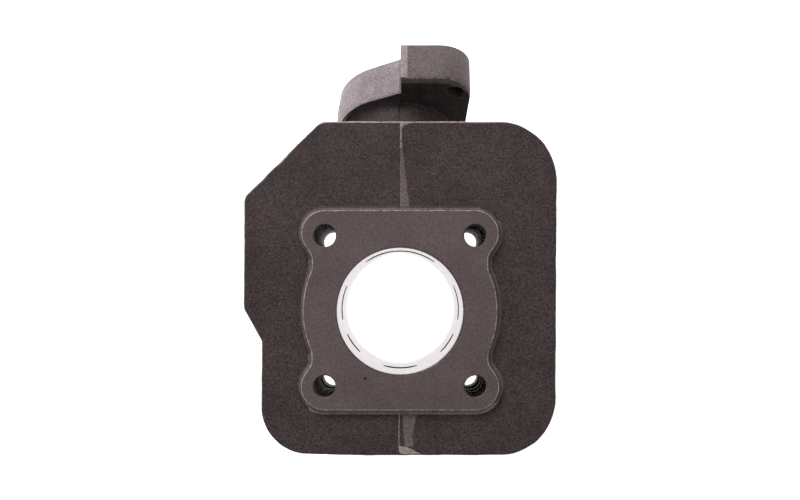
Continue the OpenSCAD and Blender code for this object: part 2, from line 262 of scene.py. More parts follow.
# one skin for each slot, in the order of the slots
SKINS = [
    cast_material("cast_iron_black", (0.0270, 0.0186, 0.0190), (0.0410, 0.0284, 0.0286),
                  (0.150, 0.125, 0.125), contrast=0.72, tint=0.55),
    # the edge skin: lighter than the black skin, partly edge wear, partly a painted highlight along edges
    # that catch the light
    cast_material("cast_iron_edge_wear_and_highlight", (0.060, 0.047, 0.046), (0.10, 0.080, 0.078),
                  (0.26, 0.23, 0.225), 0.85, (0.32, 0.275, 0.27)),
    machined_material(),
    honed_material(),
    drilled_material(),
    # the ground skin: ground-off metal on the parting marks; along the fins' exhaust edges a painted
    # highlight
    cast_material("cast_iron_ground_and_highlight", (0.130, 0.096, 0.088), (0.200, 0.155, 0.145),
                  (0.36, 0.31, 0.30), 0.6, (0.29, 0.24, 0.235)),
    # pale and middle copies of the cast skin; on the pad's and flange's sides they serve as painted light
    cast_material("cast_iron_pale", (0.165, 0.135, 0.147), (0.225, 0.186, 0.203),
                  (0.34, 0.30, 0.31)),
    cast_material("cast_iron_mid", (0.078, 0.059, 0.060), (0.108, 0.083, 0.085),
                  (0.20, 0.17, 0.17)),
    # a darker copy of the black skin: painted shade on the neck's left half
    cast_material("cast_iron_painted_shade", (0.0180, 0.0133, 0.0142), (0.0280, 0.0205, 0.0218),
                  (0.120, 0.102, 0.105), contrast=0.72, tint=0.4),
]


# ---- mesh helpers: everything is drawn in millimetres and scaled once at the end ----

def corner(prev, here, after, r, step):
    """Points of the arc of radius r that rounds the corner at here."""
    a, v, b = Vector(prev), Vector(here), Vector(after)
    da, db = (a - v).normalized(), (b - v).normalized()
    half = da.angle(db) / 2
    run = min(r / math.tan(half), (a - v).length * 0.499, (b - v).length * 0.499)
    r = run * math.tan(half)
    centre = v + (da + db).normalized() * (r / math.sin(half))
    p, q = v + da * run - centre, v + db * run - centre
    turn = math.pi - 2 * half
    if p.x * q.y - p.y * q.x < 0:
        turn = -turn
    n = max(2, int(abs(turn) * max(r, 0.5) / step) + 1)
    out = []
    for i in range(n + 1):
        t = turn * i / n
        out.append(Vector((centre.x + p.x * math.cos(t) - p.y * math.sin(t),
                           centre.y + p.x * math.sin(t) + p.y * math.cos(t))))
    return out


def outline(points, step=1.2, straight=2.0):
    """Dense closed outline from (x, y, corner radius) vertices, counter-clockwise."""
    path = []
    for i, (x, y, r) in enumerate(points):
        prev, after = points[i - 1][:2], points[(i + 1) % len(points)][:2]
        path += corner(prev, (x, y), after, r, step) if r else [Vector((x, y))]
    dense = []
    for a, b in zip(path, path[1:] + path[:1]):
        n = max(1, round((b - a).length / straight))
        dense += [a.lerp(b, i / n) for i in range(n)]
    return dense


def neighbours(points, i):
    """The vertex before vertex i, that vertex and the one after it, without their radii."""
    return [Vector(q[:2]) for q in (points[i - 1], points[i], points[(i + 1) % len(points)])]


def corner_counts(points, step, straight):
    """How many steps each rounded corner and the straight after it get."""
    counts = []
    for i, (_, _, r) in enumerate(points):
        a, v, b = neighbours(points, i)
        turn = math.pi - (a - v).angle(b - v)
        counts.append((max(3, int(turn * r / step) + 1), max(2, round((b - v).length / straight))))
    return counts


def inset_vertices(points, d):
    """The outline's vertices moved inwards by d, with the corner radii that keep it parallel."""
    out = []
    for i, (_, _, r) in enumerate(points):
        a, v, b = neighbours(points, i)
        e1, e2 = (v - a).normalized(), (b - v).normalized()
        n1, n2 = Vector((-e1.y, e1.x)), Vector((-e2.y, e2.x))
        m = (n1 + n2).normalized()
        q = v + m * (d / m.dot(n1))
        convex = e1.x * e2.y - e1.y * e2.x > 0
        out.append((q.x, q.y, max(0.05, r - d if convex else r + d)))
    return out


def ring_of(points, counts):
    """Closed ring from outline vertices with the given numbers of steps."""
    arcs = []
    for i, (x, y, r) in enumerate(points):
        prev, after = points[i - 1][:2], points[(i + 1) % len(points)][:2]
        k = counts[i][0]
        arc = corner(prev, (x, y), after, r, 0.02)
        arcs.append([arc[round(j * (len(arc) - 1) / k)] for j in range(k + 1)])
    path = []
    for i, arc in enumerate(arcs):
        after, k = arcs[(i + 1) % len(arcs)][0], counts[i][1]
        path += arc + [arc[-1].lerp(after, j / k) for j in range(1, k)]
    return path


def circle(r, n, *height):
    """n points round the Z axis, flat or at a height."""
    return [Vector((r * math.cos(2 * math.pi * i / n), r * math.sin(2 * math.pi * i / n), *height))
            for i in range(n)]


def grown(path, d):
    """The outline moved outwards by d."""
    out = []
    for i, v in enumerate(path):
        a, b = path[i - 1], path[(i + 1) % len(path)]
        e1, e2 = (v - a).normalized(), (b - v).normalized()
        n1, n2 = Vector((e1.y, -e1.x)), Vector((e2.y, -e2.x))
        m = (n1 + n2).normalized()
        out.append(v + m * (d / max(0.5, m.dot(n1))))
    return out


def rounded_levels(low, high, low_r, high_r, steps=5):
    """(height, inset) pairs that round both rims of a plate, with a tight ring beside each face."""
    beside = 0.06
    levels = [(low, low_r + beside)]
    for i in range(steps + 1):
        t = math.pi / 2 * i / steps
        levels.append((low + low_r * (1 - math.cos(t)), low_r * (1 - math.sin(t))))
    for i in range(steps + 1):
        t = math.pi / 2 * (1 - i / steps)
        levels.append((high - high_r * (1 - math.cos(t)), high_r * (1 - math.sin(t))))
    return levels + [(high, high_r + beside)]


def mesh_from_rings(rings, bands=None, low_cap=CAST, high_cap=CAST):
    """Closed bmesh from rings of equal length; bands gives each band's material slot."""
    bm = bmesh.new()
    rows = [[bm.verts.new(p) for p in ring] for ring in rings]
    n = len(rings[0])
    for k, (lo, hi) in enumerate(zip(rows, rows[1:])):
        for i in range(n):
            j = (i + 1) % n
            f = bm.faces.new((lo[i], lo[j], hi[j], hi[i]))
            f.material_index = bands[k] if bands else CAST
    bm.faces.new(list(reversed(rows[0]))).material_index = low_cap
    bm.faces.new(rows[-1]).material_index = high_cap
    return bm


def loft(path, levels, bands=None, low_cap=CAST, high_cap=CAST, wobble=0.0, seed=0.0):
    """A plate or column: the outline at each (height, inset) level, uneven by about wobble."""
    rings = []
    for z, inset in levels:
        ring = []
        for v in grown(path, -inset):
            if wobble:
                out = noise.noise(Vector((v.x * 0.16, v.y * 0.16, seed)))
                out += 0.5 * noise.noise(Vector((v.x * 0.6, v.y * 0.6, seed + z * 0.4)))
                v = v + (v.normalized() * out * wobble)
            ring.append(Vector((v.x, v.y, z)))
        rings.append(ring)
    return mesh_from_rings(rings, bands, low_cap, high_cap)


def lathe(profile, n=96, index=CAST):
    """Solid of revolution about Z from (radius, height) pairs, low to high."""
    return painted(mesh_from_rings([circle(r, n, z) for r, z in profile]), index)


def painted(bm, index):
    for f in bm.faces:
        f.material_index = index
    return bm


def placed(bm, matrix):
    bmesh.ops.transform(bm, matrix=matrix, verts=bm.verts)
    return bm


def joined(*parts):
    """One bmesh from several, which are freed."""
    out = bmesh.new()
    for part in parts:
        me = bpy.data.meshes.new("tmp")
        part.to_mesh(me)
        part.free()
        out.from_mesh(me)
        bpy.data.meshes.remove(me)
    return out


def as_object(bm, name):
    """An object with every skin in its slots; frees the bmesh."""
    bmesh.ops.recalc_face_normals(bm, faces=bm.faces)
    me = bpy.data.meshes.new(name)
    bm.to_mesh(me)
    bm.free()
    for skin in SKINS:
        me.materials.append(skin)
    ob = bpy.data.objects.new(name, me)
    bpy.context.scene.collection.objects.link(ob)
    return ob


def cut(ob, tool):
    """Takes a closed bmesh away from an object."""
    cutter = as_object(tool, "cutter")
    modifier = ob.modifiers.new("cut", "BOOLEAN")
    modifier.object, modifier.operation, modifier.solver = cutter, "DIFFERENCE", "EXACT"
    depsgraph = bpy.context.evaluated_depsgraph_get()
    me = bpy.data.meshes.new_from_object(ob.evaluated_get(depsgraph))
    ob.modifiers.clear()
    old = ob.data
    ob.data = me
    bpy.data.meshes.remove(old)
    bpy.data.objects.remove(cutter)


def finish_piece(ob, *nodes, slot="cast_skin", angle=32):
    """Cleans and scales a piece's mesh, and has it ride the body in place of its CAD nodes."""
    me = ob.data
    bm = bmesh.new()
    bm.from_mesh(me)
    bmesh.ops.remove_doubles(bm, verts=bm.verts, dist=0.002)
    bmesh.ops.dissolve_degenerate(bm, edges=bm.edges, dist=0.0005)
    bmesh.ops.transform(bm, matrix=Matrix.Scale(MM, 4), verts=bm.verts)
    bm.to_mesh(me)
    bm.free()
    me.shade_smooth()
    me.set_sharp_from_angle(angle=math.radians(angle))
    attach(ob, "root")
    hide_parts(*nodes)


# ---- places ----

def on_flange():
    """Matrix of the outlet face: X right, Y up in the face, Z into the flange."""
    return Matrix.Translation((0, EDGE_Y, EDGE_Z)) @ Matrix.Rotation(math.pi / 2 - TILT, 4, "X")


OUTLET = Vector((0, EDGE_Y - DUCT_DROP * math.sin(TILT), EDGE_Z - DUCT_DROP * math.cos(TILT)))
OUT_DIR = Vector((0, math.cos(TILT), -math.sin(TILT)))
WINDOW = Vector((0, BORE_R + 2, EXHAUST_Z))
BEND = OUTLET - OUT_DIR * (FLANGE_T + BEND_DEPTH)
RUN_DIR = (BEND - WINDOW).normalized()
BEND_AT = (BEND - WINDOW).length
THROAT_LEN = BEND_AT - ELBOW_LEAD
DUCT_LEN = BEND_AT + BEND_DEPTH + FLANGE_T
STUD_PLACES = [(sx * STUD_XY, sy * STUD_XY) for sx in (-1, 1) for sy in (-1, 1)]


def rod(r, low, high, n, index=CAST):
    return lathe([(r, low), (r, high)], n, index)


def stud_tools(low, high):
    """Drills for the four stud holes."""
    return joined(*[placed(rod(STUD_R, low, high, STUD_SIDES, DRILLED), Matrix.Translation((x, y, 0)))
                    for x, y in STUD_PLACES])


def passage_reach(z, reach, roof_r, grow):
    """How far a transfer passage or its housing stands from the bore axis at height z."""
    turn_z = PASSAGE_TOP - roof_r
    if z <= turn_z:
        return reach + grow
    r = roof_r + grow
    return reach - roof_r + math.sqrt(max(0.0, r * r - (z - turn_z) ** 2))


def passage(angle, w, reach, roof_r, grow, low, corner_r, flare=0.0):
    """A transfer passage, or its housing when grown, as a closed loft; flare widens its foot."""
    turn_z = PASSAGE_TOP - roof_r
    near = BORE_R + 2 if grow else BORE_R - 3
    top = turn_z + roof_r + grow
    heights = [low + flare * (1 - math.cos(math.pi / 2 * i / 4)) for i in range(4)] if flare else []
    heights += [low + flare + (turn_z - low - flare) * i / 4 for i in range(4)]
    heights += [turn_z + (top - turn_z) * math.sin(math.pi / 2 * i / 9) for i in range(10)]
    rings = []
    for z in heights:
        far = max(passage_reach(z, reach, roof_r, grow), BORE_R + 2.6)
        extra = 0.0
        if flare and z < low + flare:
            extra = flare - math.sqrt(max(0.0, flare ** 2 - (low + flare - z) ** 2))
        half = w / 2 + grow + extra
        shrink = 0.5 * (z - top + 2) if z > top - 2 else 0.0
        r = min(corner_r, (far - BORE_R - 2) * 0.45)
        ends = [(near, -half + shrink, 0.05), (far + extra, -half + shrink, r),
                (far + extra, half - shrink, r), (near, half - shrink, 0.05)]
        rings.append([Vector((v.x, v.y, z)) for v in ring_of(ends, [(1, 4), (8, 4), (8, 4), (1, 4)])])
    return placed(mesh_from_rings(rings), Matrix.Rotation(math.radians(angle), 4, "Z"))


# angle round the bore, width, reach from the bore axis and roof radius of each transfer passage
PASSAGES = {"transfer_duct_right": (MAIN_ANGLE, 11.7, 31.0, 10.0),
            "transfer_duct_left": (180 - MAIN_ANGLE, 11.7, 31.0, 10.0),
            "aux_duct_right": (-AUX_ANGLE, 7.3, 28.0, 7.5),
            "aux_duct_left": (180 + AUX_ANGLE, 7.3, 28.0, 7.5),
            "boost_duct": (270.0, 11.0, 30.0, 9.0)}


def passage_tools(low=-1.0):
    return joined(*[passage(*sizes, 0.0, low, PASSAGE_CORNER) for sizes in PASSAGES.values()])


def window_tool(angle, w, low, high, r):
    """A block with rounded corners that cuts one port window through the barrel's wall."""
    mid = (low + high) / 2
    path = outline([(-w / 2, -(high - low) / 2, r), (w / 2, -(high - low) / 2, r),
                    (w / 2, (high - low) / 2, r), (-w / 2, (high - low) / 2, r)], 0.5, 3)
    bm = loft(path, [(BORE_R - 4, 0), (BARREL_R + 4, 0)])
    turn = Matrix.Rotation(math.radians(angle), 4, "Z") @ Matrix.Translation((0, 0, mid))
    return placed(bm, turn @ Matrix(((0, 0, 1, 0), (1, 0, 0, 0), (0, 1, 0, 0), (0, 0, 0, 1))))


def sweep(rows, n, left_extra=None):
    """Closed solid through (centre, direction, half width, half height, squareness) rows."""
    rings = []
    for row, (centre, direction, half_width, half_height, square) in enumerate(rows):
        side = Vector((1, 0, 0))
        up = side.cross(direction).normalized()
        ring = []
        for i in range(n):
            t = 2 * math.pi * i / n
            c, s = math.cos(t), math.sin(t)
            k = (abs(c) ** square + abs(s) ** square) ** (-1 / square)
            if left_extra and c < -1e-6:
                k += left_extra[row] / half_width
            ring.append(centre + side * (half_width * c * k) + up * (half_height * s * k))
        rings.append(ring)
    return mesh_from_rings(rings)


def duct_stations(low, high):
    """(distance, point, direction) along the duct's centre line, which bends softly near BEND."""
    out, lead, soft = [], BEND_AT, 7.0
    steps = max(3, int((high - low) / 0.9))
    for i in range(steps + 1):
        s = low + (high - low) * i / steps
        if s < lead - soft:
            p, d = WINDOW + RUN_DIR * s, RUN_DIR
        elif s > lead + soft:
            p, d = BEND + OUT_DIR * (s - lead), OUT_DIR
        else:
            t = (s - lead + soft) / (2 * soft)
            a, b, c = BEND - RUN_DIR * soft, BEND, BEND + OUT_DIR * soft
            p = a * (1 - t) ** 2 + b * 2 * t * (1 - t) + c * t * t
            d = RUN_DIR.lerp(OUT_DIR, t).normalized()
        out.append((s, p, d))
    return out


def duct_tool():
    """The exhaust duct: a squarish window at the bore that turns round on its way out."""
    rows, half_width, half_height, run = [], 10.9, 7.0, 24.0
    for s, p, d in duct_stations(-6.0, DUCT_LEN + 2):
        t = min(1.0, max(0.0, s / run))
        t = t * t * (3 - 2 * t)
        rows.append((p, d, half_width + (DUCT_R - half_width) * t,
                     half_height + (DUCT_R - half_height) * t, 5.0 - 3.0 * t))
    return sweep(rows, 96)


def fillet_rise(left, r):
    """How far a fillet of radius r stands out at the distance left from the face it runs into."""
    return r - math.sqrt(max(0.0, r * r - (r - left) ** 2)) if left < r else 0.0


def neck_body(low, high, low_blend, high_blend):
    """The neck's outside; its left mould half has a darker skin, painted shade, and differs a little at the
    flange.
    """
    rows, extra = [], []
    for s, p, d in duct_stations(low, high):
        r, more = NECK_R, MOULD_STEP
        if low_blend:
            k = max(0.0, 1 - (s - ROOT_AT) / ROOT_RUN)
            r += ROOT_FLARE * min(1.0, k) ** 2
        if high_blend:
            left = DUCT_LEN - FLANGE_T - s
            r += fillet_rise(left, FLANGE_FILLET)
            more += max(0.0, fillet_rise(left, LEFT_FILLET) - fillet_rise(left, FLANGE_FILLET))
        rows.append((p, d, r, r, 2.0))
        extra.append(more)
    bm = sweep(rows, 192, extra)
    for f in bm.faces:
        # left of the seam the neck takes the darker skin: painted shade
        if f.calc_center_median().x < SEAM_X:
            f.material_index = PAINTED_SHADE
    return bm


def strip(rows, top, rise, index, seed, sharp_left=True):
    """A thin raised patch on a face at height top, through (y, left x, right x) rows."""
    rings = []
    for y, xl, xr in rows:
        rag = 0.35 * noise.noise(Vector((y * 1.7, seed, 0))) + 0.2 * noise.noise(Vector((y * 4.1, seed, 5)))
        xr = max(xl + 0.15, xr + rag * min(1.0, xr - xl))
        w = xr - xl
        lip = 0.06 if sharp_left else 0.3 * w
        wave = 1 + 0.5 * noise.noise(Vector((y * 1.3, seed, 9)))
        rings.append([Vector((xl, y, top - 0.3)), Vector((xr, y, top - 0.3)), Vector((xr, y, top + 0.01)),
                      Vector((xl + 0.75 * w, y, top + 0.6 * rise * wave)),
                      Vector((xl + 0.35 * w, y, top + rise * wave)),
                      Vector((xl + lip, y, top + rise)), Vector((xl, y, top + 0.7 * rise))])
    return painted(mesh_from_rings(rings), index)


def filled_in(rows, step):
    """(y, left, right) rows interpolated evenly between the given ones."""
    out = []
    for (y0, a0, b0), (y1, a1, b1) in zip(rows, rows[1:]):
        n = max(1, round(abs(y1 - y0) / step))
        for i in range(n):
            t = i / n
            out.append((y0 + (y1 - y0) * t, a0 + (a1 - a0) * t, b0 + (b1 - b0) * t))
    return out + [rows[-1]]


# ---- fins ----

FIN_RIM_LOW, FIN_RIM_HIGH = 0.9, 0.75
# how much further than CAD the casting reaches towards the exhaust
FIN_PROUD = 0.15
# half length of the stretch of a fin's exhaust edge painted with a highlight, and the ground nick in the
# cut corner
HIGHLIGHT_HALF, NICK, NICK_R = 34, Vector((-37.4, 48.0)), 1.6


def fin_path(reach):
    """A fin's outline; its rear corners lie up to 0.7 mm off the CAD's, as the casting's do."""
    front = FINS["fin_top"][2] + FIN_PROUD
    reach += FIN_PROUD
    return outline([(FIN_CUT - FIN_LEFT - (front - reach), reach, 5),
                    (-FIN_LEFT, front - FIN_CUT, 4),
                    (-FIN_LEFT, 0.6, 3),
                    (-FIN_LEFT_REAR + 0.2, -9.6, 3),
                    (-FIN_LEFT_REAR, 0.7 - FIN_REAR, 19.0),
                    (-14, 0.1 - FIN_REAR, 40),
                    (14, 0.1 - FIN_REAR, 40),
                    (FIN_RIGHT - 0.5, 0.2 - FIN_REAR, 19.2),
                    (FIN_RIGHT + 0.5, reach, 18.8)], 0.9, 1.5)


def make_fin(node, seed):
    low, high, reach = FINS[node]
    levels = rounded_levels(low, high, FIN_RIM_LOW, FIN_RIM_HIGH)
    # only the upper rim takes the edge skin: a painted highlight on the rim that faces the lamps, with some
    # wear
    upper_rim = range(7, 11)
    bands = [EDGE if k in upper_rim else CAST for k in range(len(levels) - 1)]
    bm = loft(fin_path(reach), levels, bands, CAST, CAST, 0.16, seed)
    for f in bm.faces:
        c = f.calc_center_median()
        if f.material_index != EDGE:
            continue
        # the middle stretch of the exhaust edge takes the ground skin as a painted highlight; the nick is
        # ground metal
        nick = node == "fin_top" and (c.xy - NICK).length < NICK_R
        if nick or (c.y > reach - 0.7 and abs(c.x) < HIGHLIGHT_HALF):
            f.material_index = GROUND_AND_HIGHLIGHT
        elif c.z > high - 0.13:
            f.material_index = CAST
    fin = as_object(bm, "cast_" + node)
    cut(fin, rod(BARREL_R - 0.8, low - 2, high + 2, BARREL_SIDES))
    cut(fin, stud_tools(low - 2, high + 2))
    if node == "fin_fourth":
        cut(fin, passage_tools())
    if node != "fin_top":
        cut(fin, duct_tool())
    return fin


def parting_marks():
    """What was ground off along the parting line of the top fin, on the exhaust and rear sides."""
    top = FINS["fin_top"][1]
    front = FINS["fin_top"][2] - 0.35
    exhaust = filled_in([(32.0, 0.0, 3.6), (34, 0.0, 3.0), (38, 0.0, 2.3), (44, 0.0, 1.7), (49, 0.0, 1.2),
                         (52, 0.0, 0.8)], 0.25)
    crest = filled_in([(52, 0.0, 0.8), (54, 0.0, 0.6), (57.4, 0.0, 0.55), (58.6, 0.0, 0.9),
                       (59.3, 0.0, 1.7), (59.7, 0.0, 3.2), (front, 0.0, 6.8)], 0.25)
    rear = filled_in([(-45.3, 0.4, 6.6), (-44.8, -0.2, 5.4), (-43.9, -0.4, 4.0), (-43.2, -0.4, 2.2),
                      (-42.8, -0.4, 0.0)], 0.2)
    ridge = filled_in([(-43.4, -0.45, -0.15), (-31.9, -0.45, -0.15)], 0.3)
    patch = filled_in([(-43.0, 1.6, 4.4), (-40, 1.3, 3.8), (-37, 1.0, 4.4), (-31.9, 0.6, 5.4)], 0.25)
    return joined(strip(exhaust, top, 0.22, MID, 1.0),
                  strip(crest, top, 0.2, GROUND_AND_HIGHLIGHT, 1.0),
                  strip(rear, top, 0.10, GROUND_AND_HIGHLIGHT, 2.0, False),
                  strip(ridge, top, 0.12, GROUND_AND_HIGHLIGHT, 3.0),
                  strip(patch, top, 0.05, MID, 4.0, False))


def added(ob, bm):
    """Adds closed shells to a finished mesh."""
    extra = as_object(bm, "extra")
    whole = bmesh.new()
    whole.from_mesh(ob.data)
    whole.from_mesh(extra.data)
    whole.to_mesh(ob.data)
    whole.free()
    bpy.data.objects.remove(extra)


for seed, node in enumerate(FINS):
    fin = make_fin(node, seed * 7.3)
    if node == "fin_top":
        added(fin, parting_marks())
    finish_piece(fin, node)


# ---- head gasket pad ----

# the pad reaches this much further on the exhaust side; a small casting pit lies in its face
PAD_SHIFT, PIT = 0.6, (-10.9, -21.3)


def pad_path():
    """Union outline of a waisted square, a round bulge and four lobes, found by ray and softened."""
    points, n, softening = [], 720, 8
    waist, bulge, lobe = 28.4, 31.3, 8.0
    for i in range(n):
        a = 2 * math.pi * i / n
        c, s = math.cos(a), math.sin(a)
        side = STUD_XY + lobe + (PAD_SHIFT if s > 0 else 0.0)
        best = min(STUD_XY / max(1e-9, abs(c)), side / max(1e-9, abs(s)))
        best = max(best, bulge, min(waist / max(1e-9, abs(c)), STUD_XY / max(1e-9, abs(s))))
        for x, y in STUD_PLACES:
            y += PAD_SHIFT if y > 0 else 0.0
            b = c * x + s * y
            under = b * b - (x * x + y * y - lobe * lobe)
            if under > 0:
                best = max(best, b + math.sqrt(under))
        points.append(Vector((c * best, s * best)))
    for _ in range(softening):
        points = [(points[i - 1] + points[i] * 2 + points[(i + 1) % n]) / 4 for i in range(n)]
    return points[::2]


def stud_mouth():
    """A stud hole through the pad, with a small machined chamfer at its mouth."""
    chamfer = 0.3
    mouth = lathe([(STUD_R, PAD_Z - 2), (STUD_R, DECK_Z - 0.35), (STUD_R + chamfer, DECK_Z),
                   (STUD_R + chamfer, DECK_Z + 1)], STUD_SIDES, DRILLED)
    for f in mouth.faces:
        if f.calc_center_median().z > DECK_Z - 0.34:
            f.material_index = MACHINED
    return mouth


def make_pad():
    """The pad with its drafted sides and its holes; the sides carry painted light: pale along the rear, a
    darker foot on the left and exhaust sides.
    """
    levels = [(PAD_Z - 0.6, -1.15), (PAD_Z - 0.05, -1.10), (PAD_Z + 0.12, -0.72), (PAD_Z + 0.36, -0.36),
              (PAD_Z + 0.75, -0.05), (DECK_Z - 0.50, 0.36), (DECK_Z - 0.20, 0.46), (DECK_Z - 0.05, 0.58),
              (DECK_Z, 0.78), (DECK_Z, 0.88)]
    bands = [CAST, MID, MID, MID, MID, MID, EDGE, EDGE, MACHINED]
    bm = loft(pad_path(), levels, bands, CAST, MACHINED, 0.1, 3.1)
    # painted light by side: the foot darker where it faces left or the exhaust side, the slopes pale along
    # the rear
    flank = 29
    for f in bm.faces:
        c = f.calc_center_median()
        if c.z < PAD_Z + 0.36 and (c.x < -flank or c.y > flank):
            f.material_index = CAST
        elif f.material_index == MID and c.y < -flank:
            f.material_index = PALE
    pad = as_object(bm, "cast_head_gasket_pad")
    chamfer = 0.5
    cut(pad, lathe([(BORE_R, PAD_Z - 2), (BORE_R, DECK_Z - 0.55), (BORE_R + chamfer, DECK_Z),
                    (BORE_R + chamfer, DECK_Z + 1)], BORE_SIDES, HONED))
    cut(pad, joined(*[placed(stud_mouth(), Matrix.Translation((x, y, 0))) for x, y in STUD_PLACES]))
    pit = lathe([(0.08, -0.5), (0.25, -0.4), (0.42, -0.15), (0.50, 0.15)], 14)
    cut(pad, placed(pit, Matrix.Translation((*PIT, DECK_Z))))
    return pad


finish_piece(make_pad(), "head_gasket_pad", slot="machined_pad")


# ---- barrel ----

def revolved(profile):
    """Closed ring solid from a closed (radius, height, slot) profile; slot paints the next band."""
    bm = bmesh.new()
    rows = [[bm.verts.new(p) for p in circle(r, BORE_SIDES, z)] for r, z, _ in profile]
    for k, (lo, hi) in enumerate(zip(rows, rows[1:] + rows[:1])):
        for i in range(BORE_SIDES):
            j = (i + 1) % BORE_SIDES
            bm.faces.new((lo[i], lo[j], hi[j], hi[i])).material_index = profile[k][2]
    return bm


def tube(low, high, gaps=(), outer=BARREL_R):
    """A stretch of the barrel: honed inside, with fillets up to the fins on each side of a gap."""
    profile = [(outer, low, CAST)]
    fillet, steps = 2.2, 5
    for a, b in gaps:
        a, b = max(a, low), min(b, high)
        for i in range(steps + 1):
            t = math.pi / 2 * i / steps
            profile.append((outer + fillet * (1 - math.sin(t)), a + fillet * (1 - math.cos(t)), CAST))
        for i in range(steps, -1, -1):
            t = math.pi / 2 * i / steps
            profile.append((outer + fillet * (1 - math.sin(t)), b - fillet * (1 - math.cos(t)), CAST))
        profile.append((outer, b + 0.4, CAST))
    profile += [(outer, high, CAST), (BORE_R, high, HONED), (BORE_R, low, CAST)]
    return revolved(profile)


upper = as_object(tube(BELT_HIGH, PAD_Z, [GAPS[1], GAPS[0]]), "cast_barrel_wall_upper")
finish_piece(upper, "barrel_wall_upper", slot="honed_barrel")

# transfer windows: angle round the bore, width, corner radius
TRANSFERS = ((MAIN_ANGLE, 11.9, 2), (180 - MAIN_ANGLE, 11.9, 2), (-AUX_ANGLE, 7.6, 2),
             (180 + AUX_ANGLE, 7.6, 2), (270, 11.6, 3))
# all port windows, the exhaust's first: angle, width, low, high, corner radius
WINDOWS = [(90, 23.4, 20, 32.5, 4)]
WINDOWS += [(angle, w, TRANSFER_LOW, TRANSFER_HIGH, r) for angle, w, r in TRANSFERS]

belt = as_object(tube(BELT_LOW, BELT_HIGH, [GAPS[2]]), "cast_port_belt")
for sizes in WINDOWS:
    cut(belt, window_tool(*sizes))
finish_piece(belt, "port_belt", slot="honed_barrel")

lower = as_object(tube(0, BELT_LOW), "cast_barrel_wall_lower")
finish_piece(lower, "barrel_wall_lower", slot="honed_barrel")

# the spigot: one round relief cut across both walls, and a chamfer inside its lower end
RELIEF_R, SPIGOT_CHAMFER = 9.0, 0.5

spigot = as_object(tube(SPIGOT_LOW, 0, outer=SPIGOT_R), "cast_spigot")
cut(spigot, placed(rod(RELIEF_R, -30, 30, 96, MACHINED),
                   Matrix.Translation((0, 0, SPIGOT_LOW)) @ Matrix.Rotation(math.pi / 2, 4, "X")))
cut(spigot, lathe([(BORE_R + 3 * SPIGOT_CHAMFER, SPIGOT_LOW - 2 * SPIGOT_CHAMFER),
                   (BORE_R + SPIGOT_CHAMFER, SPIGOT_LOW), (BORE_R, SPIGOT_LOW + SPIGOT_CHAMFER),
                   (BORE_R - SPIGOT_CHAMFER, SPIGOT_LOW + 2 * SPIGOT_CHAMFER)], BORE_SIDES, MACHINED))
finish_piece(spigot, "spigot", slot="honed_barrel")


# ---- stud columns ----

def keyhole():
    """Plan of a column with its web, the column at the origin and the barrel towards -X."""
    half, soft, soft_steps, round_steps = WEB_W / 2, 1.6, 6, 48
    cx = -math.sqrt((COLUMN_R + soft) ** 2 - (half + soft) ** 2)
    first = math.atan2(half + soft, -cx)
    low = [Vector((BARREL_R - 2 - STUD_DIST, -half))]
    for i in range(soft_steps + 1):
        t = math.pi / 2 + (first - math.pi / 2) * i / soft_steps
        low.append(Vector((cx + soft * math.cos(t), -(half + soft) + soft * math.sin(t))))
    start = first - math.pi
    turn = [start + 2 * (math.pi - first) * i / round_steps for i in range(1, round_steps)]
    round_part = [Vector((COLUMN_R * math.cos(t), COLUMN_R * math.sin(t))) for t in turn]
    return low + round_part + [Vector((v.x, -v.y)) for v in reversed(low)]


# how far columns and collars reach into the fins above and below, so that no gap shows
OVERLAP = 0.4


def flared_levels(low, high, flare=1.6, steps=5):
    """Levels of a column that flares out into both fins."""
    levels = [(low - OVERLAP, -flare - 0.1)]
    for i in range(steps + 1):
        t = math.pi / 2 * i / steps
        levels.append((low + flare * (1 - math.cos(t)), -flare * (1 - math.sin(t))))
    for i in range(steps + 1):
        t = math.pi / 2 * (1 - i / steps)
        levels.append((high - flare * (1 - math.cos(t)), -flare * (1 - math.sin(t))))
    return levels + [(high + OVERLAP, -flare - 0.1)]


def collar_levels(z, up):
    """Levels of a low collar on the fin face at z; up is 1 above the face and -1 below it."""
    levels = [(z - up * OVERLAP, -1.0), (z, -0.9), (z + up * 0.25, -0.35), (z + up * 0.8, 0.0),
              (z + up * (COLLAR_H - 0.35), 0.1), (z + up * (COLLAR_H - 0.08), 0.3),
              (z + up * COLLAR_H, 0.6), (z + up * COLLAR_H, 0.7)]
    return levels if up > 0 else levels[::-1]


def make_column(node, angle, open_gaps, seed):
    """The metal round one stud hole: a full column in most gaps, two collars in an open one."""
    parts = []
    for (low, high), is_open in zip(GAPS, open_gaps):
        if is_open:
            ring = circle(COLUMN_R, 72)
            parts.append(loft(ring, collar_levels(low, 1), wobble=0.12, seed=seed))
            parts.append(loft(ring, collar_levels(high, -1), wobble=0.12, seed=seed + 2))
        else:
            parts.append(loft(keyhole(), flared_levels(low, high)))
    turn = Matrix.Rotation(math.radians(angle), 4, "Z") @ Matrix.Translation((STUD_DIST, 0, 0))
    col = as_object(placed(joined(*parts), turn), "cast_" + node)
    cut(col, stud_tools(-2, DECK_Z + 2))
    cut(col, passage_tools())
    cut(col, duct_tool())
    return col


for seed, (node, angle, open_gaps) in enumerate((
        ("stud_column_exhaust_right", 45, (False, True, False, False)),
        ("stud_column_exhaust_left", 135, (True, False, False, False)),
        ("stud_column_rear_left", 225, (False, False, False, True)),
        ("stud_column_rear_right", 315, (True, True, True, False)))):
    finish_piece(make_column(node, angle, open_gaps, 20 + seed * 3.7), node)


# ---- transfer duct housings ----

